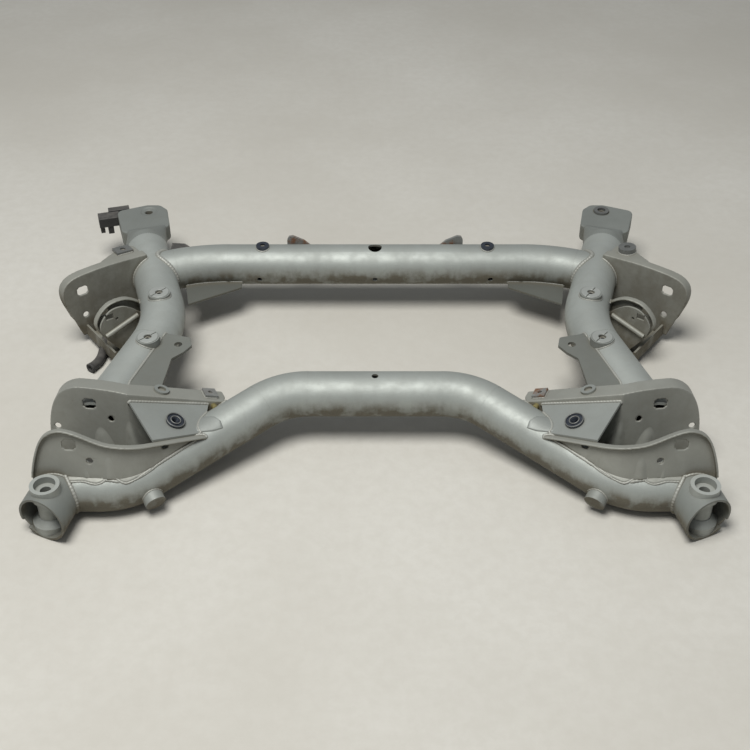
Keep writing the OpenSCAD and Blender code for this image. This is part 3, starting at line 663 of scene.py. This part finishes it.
def joined(parts):
    """Several bodies, each as points and faces, as one."""
    verts, faces = [], []
    for v, f in parts:
        faces += [tuple(i + len(verts) for i in q) for q in f]
        verts += list(v)
    return verts, faces


def step_edge(height, soft):
    """Flat top that rolls off at both long edges and both ends."""
    def rise(u, v):
        k = min(u, 1 - u, v, 1 - v) / soft
        return height * math.sqrt(max(0.0, 1 - (1 - min(1.0, k)) ** 2))
    return rise


def dome(top, foot):
    """A flute: low at its start, high towards its end, round across and rounded off at both ends."""
    def rise(u, v):
        ends = math.sin(math.pi / 2 * min(1.0, 2 * u)) ** 2 * math.sin(math.pi / 2 * min(1.0, 5 * (1 - u)))
        return (top * (1 - u) + foot * u) * math.sin(math.pi * v) ** 2 * ends
    return rise


# Scalloped foot of the front ears, welded on the tube: its front edge and its width in pixels
SCALLOP = [(64.1, 480.8), (71.1, 482.2), (78.1, 481.5), (83.8, 481.5), (90.8, 483.7), (96.4, 484.8),
           (102, 482.9), (106.2, 479.4), (110.4, 477.8), (116, 478), (120.2, 481.5), (125.8, 483.9),
           (131.5, 481.5), (138.5, 478), (146.9, 473.1), (155.3, 466.8), (163.7, 459.8), (172.1, 452.8),
           (180.6, 445.8), (189, 441.6), (200, 436.5)]
FOOT_WIDE = 7.5
FOOT_RISE = 0.0014
FOOT_BEAD = 0.0015


def behind(x, y):
    """The back edge of the foot, which leans to the left along its right part."""
    return x - 3.0 * min(1, max(0, (x - 120) / 40)), y - FOOT_WIDE


def foot_rise(u, v):
    return FOOT_RISE * min(1.0, 6 * (1 - v))


verts, faces = strip("front_crossmember", [behind(*q) for q in SCALLOP], SCALLOP, foot_rise, 90, 7)
both_sides("ear_foot", verts, faces, MATS["front_ear_paint"])
verts, faces = [], []
foot = np.array([on_node("front_crossmember", *q)[0] for q in spread(SCALLOP, 120)])
bead(foot, FOOT_BEAD, verts, faces, rough=0.2)
both_sides("ear_foot_weld", verts, faces, WELD)

# Flutes pressed into the ears
flutes = [
    strip("left_inner_ear", [(97, 424), (94, 432), (92, 449)], [(102, 424), (109, 432), (120, 449)],
          dome(0.0010, 0.0062), along=22, across=14),
    strip("left_inner_ear", [(125, 417), (124, 430), (124, 450)], [(131, 417), (138, 430), (150, 450)],
          dome(0.0010, 0.0070), along=22, across=14)]
verts, faces = joined(flutes)
both_sides("inner_ear_flutes", verts, faces, MATS["front_ear_paint"])
flutes = [
    strip("left_front_ear", [(103, 452), (102, 464), (100.5, 483)], [(112, 452), (115, 464), (119, 483)],
          dome(0.0008, 0.0026), along=20, across=12),
    strip("left_front_ear", [(84, 466), (83, 474), (82, 484)], [(88, 466), (90, 474), (92.5, 484)],
          dome(0.0003, 0.0014), along=16, across=10)]
verts, faces = joined(flutes)
verts = [eased(v) for v in verts]
both_sides("front_ear_flutes", verts, faces, MATS["front_ear_paint"])

# Tongue of the sloping plate, lapped over the tube
verts, faces = strip("front_crossmember", [(190, 419), (203, 416.5), (214, 416), (221, 421)],
                     [(190, 433), (203, 432.5), (214, 431.5), (223.5, 428)],
                     step_edge(0.0016, 0.12), along=36, across=18)
both_sides("plate_tongue", verts, faces, MATS["plate_paint"])


def split_washer(centre, turn, inner, outer, thick, gap, steps=26, edge=0.0006):
    """Two half rings with rounded edges, a narrow slit between them."""
    cut = math.asin(gap / outer)
    ring = [(inner, 0.0), (outer, 0.0), (outer, thick * 0.6), (outer - edge, thick), (inner + edge, thick),
            (inner, thick * 0.6)]
    parts = []
    for half in (0, 1):
        verts = []
        for i in range(steps + 1):
            a = turn + math.pi * half + cut + (math.pi - 2 * cut) * i / steps
            for r, z in ring:
                lean = (gap / r - cut) * (1 - 2 * i / steps)
                verts.append(centre + Vector((r * math.cos(a + lean), r * math.sin(a + lean), z)))
        parts.append((verts, skin(steps + 1, len(ring))))
    return joined(parts)


# Split washers on the four seats, sunk a little into them and each turned its own way
SEAT_RADIUS = 0.016
WASHER_SIZE = {"inner": 0.0053, "outer": 0.0142, "thick": 0.0016, "gap": 0.0007}
seat_lo, seat_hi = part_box("mount_seats")
seat_x, seat_z = seat_hi[0] - SEAT_RADIUS, seat_hi[2] - 0.0002
for name, y, turn in (("rear", seat_hi[1] - SEAT_RADIUS, 0.85), ("front", seat_lo[1] + SEAT_RADIUS, 0.75)):
    for side, x, more in (("left", -seat_x, 0.0), ("right", seat_x, 0.1)):
        verts, faces = split_washer(Vector((x, y, seat_z)), turn + more, **WASHER_SIZE)
        finish_piece(side + "_" + name + "_seat_washer", verts, faces, WASHER, smooth=False)


def round_axis(axis):
    """A unit axis and two unit vectors across it."""
    ax = axis.normalized()
    across = ax.orthogonal().normalized()
    return ax, across, ax.cross(across)


def thread(centre, axis, radius, deep, pitch, around=28):
    """A threaded lining for a bore: closed tube with a toothed inside."""
    ax, sx, sy = round_axis(axis)
    crest, root, back = radius - 0.0007, radius - 0.0001, radius + 0.0001
    turns = int(deep / pitch) * 2
    profile = [(back, 0.0)]
    profile += [(crest if k % 2 else root, -deep * k / turns) for k in range(turns + 1)]
    profile += [(back, -deep)]
    verts = [v for r, h in profile for v in circle(centre + ax * h, sx, sy, r, around)]
    return verts, skin(len(profile), around, closed=True)


def ring_lip(centre, axis, radius, thick, around=40, sides=8):
    """A rolled ring round an axis."""
    ax, sx, sy = round_axis(axis)
    outward = circle(Vector(), sx, sy, 1.0, around)
    verts = [v for out in outward for v in circle(centre + out * radius, out, ax, thick, sides)]
    return verts, skin(around, sides, closed=True)


# Threads in the bosses of the sloping plates, and lips on their top faces
THREAD_TOP = 0.0062  # above the middle of the bore
THREAD = {"radius": 0.005, "deep": 0.0125, "pitch": 0.0015}
LIP_TOP = 0.0066
INNER_LIP = {"radius": 0.0064, "thick": 0.0009}
OUTER_LIP = {"radius": 0.0118, "thick": 0.0008}
for mount in frame["record"]["mounts"]:
    if mount["name"].startswith("top_boss"):
        middle, ax = Vector(mount["pos_m"]), Vector(mount["axis"])
        verts, faces = thread(middle + ax * THREAD_TOP, ax, **THREAD)
        finish_piece(mount["name"] + "_thread", verts, faces, MATS["dark_steel"],
                     smooth=False)
        face = middle + ax * LIP_TOP
        verts, faces = joined([ring_lip(face, ax, **INNER_LIP), ring_lip(face, ax, **OUTER_LIP)])
        finish_piece(mount["name"] + "_lips", verts, faces, MATS["worn_steel"])


def evaluated(o):
    """The mesh of an object after its modifiers."""
    return bpy.data.meshes.new_from_object(o.evaluated_get(bpy.context.evaluated_depsgraph_get()))


# Voxel size, rounds of smoothing and share of faces kept in the softened copies
EAR_SOFT = 0.0009, 5, 0.14
END_SOFT = 0.0011, 9, 0.22
CLIP_SOFT = 0.0006, 4, 0.3


def rounded_copy(name, node, softness, mat, extra=(), shape=None):
    """A CAD node run together with extra bodies, softened at every edge and bent by shape(point)."""
    voxel, rounds, ratio = softness
    pos, tri, _ = geo(node)
    body = [Vector(p) for p in pos], [tuple(int(i) for i in f) for f in tri]
    verts, faces = joined([body, *extra])
    me = bpy.data.meshes.new(name + "_raw")
    me.from_pydata([tuple(v) for v in verts], [], faces)
    raw = bpy.data.objects.new(name + "_raw", me)
    scene.collection.objects.link(raw)
    m = raw.modifiers.new("voxels", "REMESH")
    m.mode = "VOXEL"
    m.voxel_size = voxel
    m = raw.modifiers.new("soft", "SMOOTH")
    m.factor = 0.5
    m.iterations = rounds
    dense = evaluated(raw)
    if shape:
        for v in dense.vertices:
            v.co = shape(v.co)
    raw.modifiers.clear()
    raw.data = dense
    m = raw.modifiers.new("lean", "DECIMATE")
    m.ratio = ratio
    soft = evaluated(raw)
    verts = [v.co.copy() for v in soft.vertices]
    faces = [tuple(q.vertices) for q in soft.polygons]
    bpy.data.objects.remove(raw)
    for mesh in (me, dense, soft):
        bpy.data.meshes.remove(mesh)
    return finish_piece(name, verts, faces, mat)


def tube(points, radius, around, bore=0.0):
    """A round bar along a line, radius(u) thick; with a bore its far end is hollow."""
    pts = [Vector(p) for p in points]
    side = None
    verts = []
    for i, c in enumerate(pts):
        t = (pts[min(i + 1, len(pts) - 1)] - pts[max(i - 1, 0)]).normalized()
        side = t.orthogonal().normalized() if side is None else (side - t * side.dot(t)).normalized()
        up = t.cross(side)
        verts += circle(c, side, up, radius(i / (len(pts) - 1)), around)
    if bore:
        for r, back in ((bore, 0.0), (bore * 0.96, 0.008), (bore * 0.2, 0.010)):
            verts += circle(pts[-1] - t * back, side, up, r, around)
    return verts, skin(len(verts) // around, around)


# Flattened rear ends, run into the rails: where a rail ends on the right, its way there and the lap over it
TAIL = Vector((0.36088, 0.23526, 0.072))
TAIL_WAY = Vector((0.28067, 0.95981, 0.0))
LAP_BACK = [0.030 - 0.004 * k for k in range(9)]


def lap_radius(u):
    return 0.0314 + 0.0011 * u


for s, sx in (("left", -1), ("right", 1)):
    origin = Vector((sx * TAIL.x, TAIL.y, TAIL.z))
    along = Vector((sx * TAIL_WAY.x, TAIL_WAY.y, TAIL_WAY.z))
    lap = tube([origin - along * back for back in LAP_BACK], lap_radius, 48)
    piece = rounded_copy(s + "_flat_end", s + "_rear_mount", END_SOFT, MATS["mount_paint"],
                         extra=[lap])
    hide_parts(s + "_rear_mount")

# Pressed ears with rolled edges
for s in ("left", "right"):
    for kind, slot in (("front_ear", "front_ear_paint"), ("inner_ear", "front_ear_paint"),
                       ("rear_ear", "rear_ear_paint"), ("d_ear", "rear_ear_paint")):
        front = kind == "front_ear"
        piece = rounded_copy(s + "_pressed_" + kind, s + "_" + kind, EAR_SOFT,
                             FRONT_EAR_RIM_SHADE if front else MATS[slot], shape=eased if front else None)
        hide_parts(s + "_" + kind)

# Moulded clip and blade with soft edges
for node in ("left_clip", "left_blade"):
    piece = rounded_copy(node + "_moulded", node, CLIP_SOFT, MATS["black_plastic"])
    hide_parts(node)


def on_height(px, py, z):
    """Where the line of sight through a pixel reaches a height."""
    d = ray(px, py)
    return EYE + d * ((z - EYE.z) / d.z)


# Rubber elbow under the left rear bracket: its middle line in pixels, the height of that line and its bore
ELBOW = [(106, 338), (104, 348), (102, 356), (98.5, 362), (93, 366.5), (90, 368.5)]
ELBOW_Z = 0.0078
ELBOW_BORE = 0.0045


def elbow_radius(u):
    """Even at first, then flared over the last eighth."""
    return 0.0068 + 0.0008 * max(0.0, 8 * (u - 0.875))


line = [on_height(px, py, ELBOW_Z) for px, py in spread(ELBOW, 26)]
verts, faces = tube(line, elbow_radius, 22, ELBOW_BORE)
piece = finish_piece("left_rubber_elbow", verts, faces, RUBBER)
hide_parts("left_hook")


FLOOR = [(-9, -6, 0), (9, -6, 0), (9, 12, 0), (-9, 12, 0)]


def floor():
    """A plain pale floor, as stage."""
    t = Tree("pale_floor")
    p = t.coords()
    big = t.noise(p, 1.4, 5.0, 0.6)
    small = t.noise(p, 60.0, 5.0, 0.65)
    colour = t.mix(t.span(big, 0.3, 0.7), (0.520, 0.500, 0.450), (0.600, 0.585, 0.540))
    colour = t.mix(t.span(small, 0.3, 0.7, 0.0, 0.35), colour, (0.500, 0.480, 0.430))
    t.link(colour, t.bsdf.inputs["Base Color"])
    t.bsdf.inputs["Roughness"].default_value = 0.85
    t.link(t.bump(small, 0.0008, 0.4), t.bsdf.inputs["Normal"])
    me = bpy.data.meshes.new("floor")
    me.from_pydata(FLOOR, [], [(0, 1, 2, 3)])
    me.materials.append(t.mat)
    o = bpy.data.objects.new("floor", me)
    scene.collection.objects.link(o)


def area(name, loc, aim, size, power, colour):
    """A round area light turned to a point."""
    d = bpy.data.lights.new(name, "AREA")
    d.shape = "DISK"
    d.size = size
    d.energy = power
    d.color = colour
    o = bpy.data.objects.new(name, d)
    o.location = loc
    o.rotation_euler = (Vector(aim) - Vector(loc)).to_track_quat("-Z", "Y").to_euler()
    scene.collection.objects.link(o)


floor()
area("key", (-0.50, -0.80, 2.85), (0, 0, 0.05), 1.5, 88.0, (1.0, 0.99, 0.96))
world = bpy.data.worlds.new("studio")
world.use_nodes = True
world.node_tree.nodes["Background"].inputs["Color"].default_value = (0.90, 0.95, 1.0, 1.0)
world.node_tree.nodes["Background"].inputs["Strength"].default_value = 0.24
scene.world = world
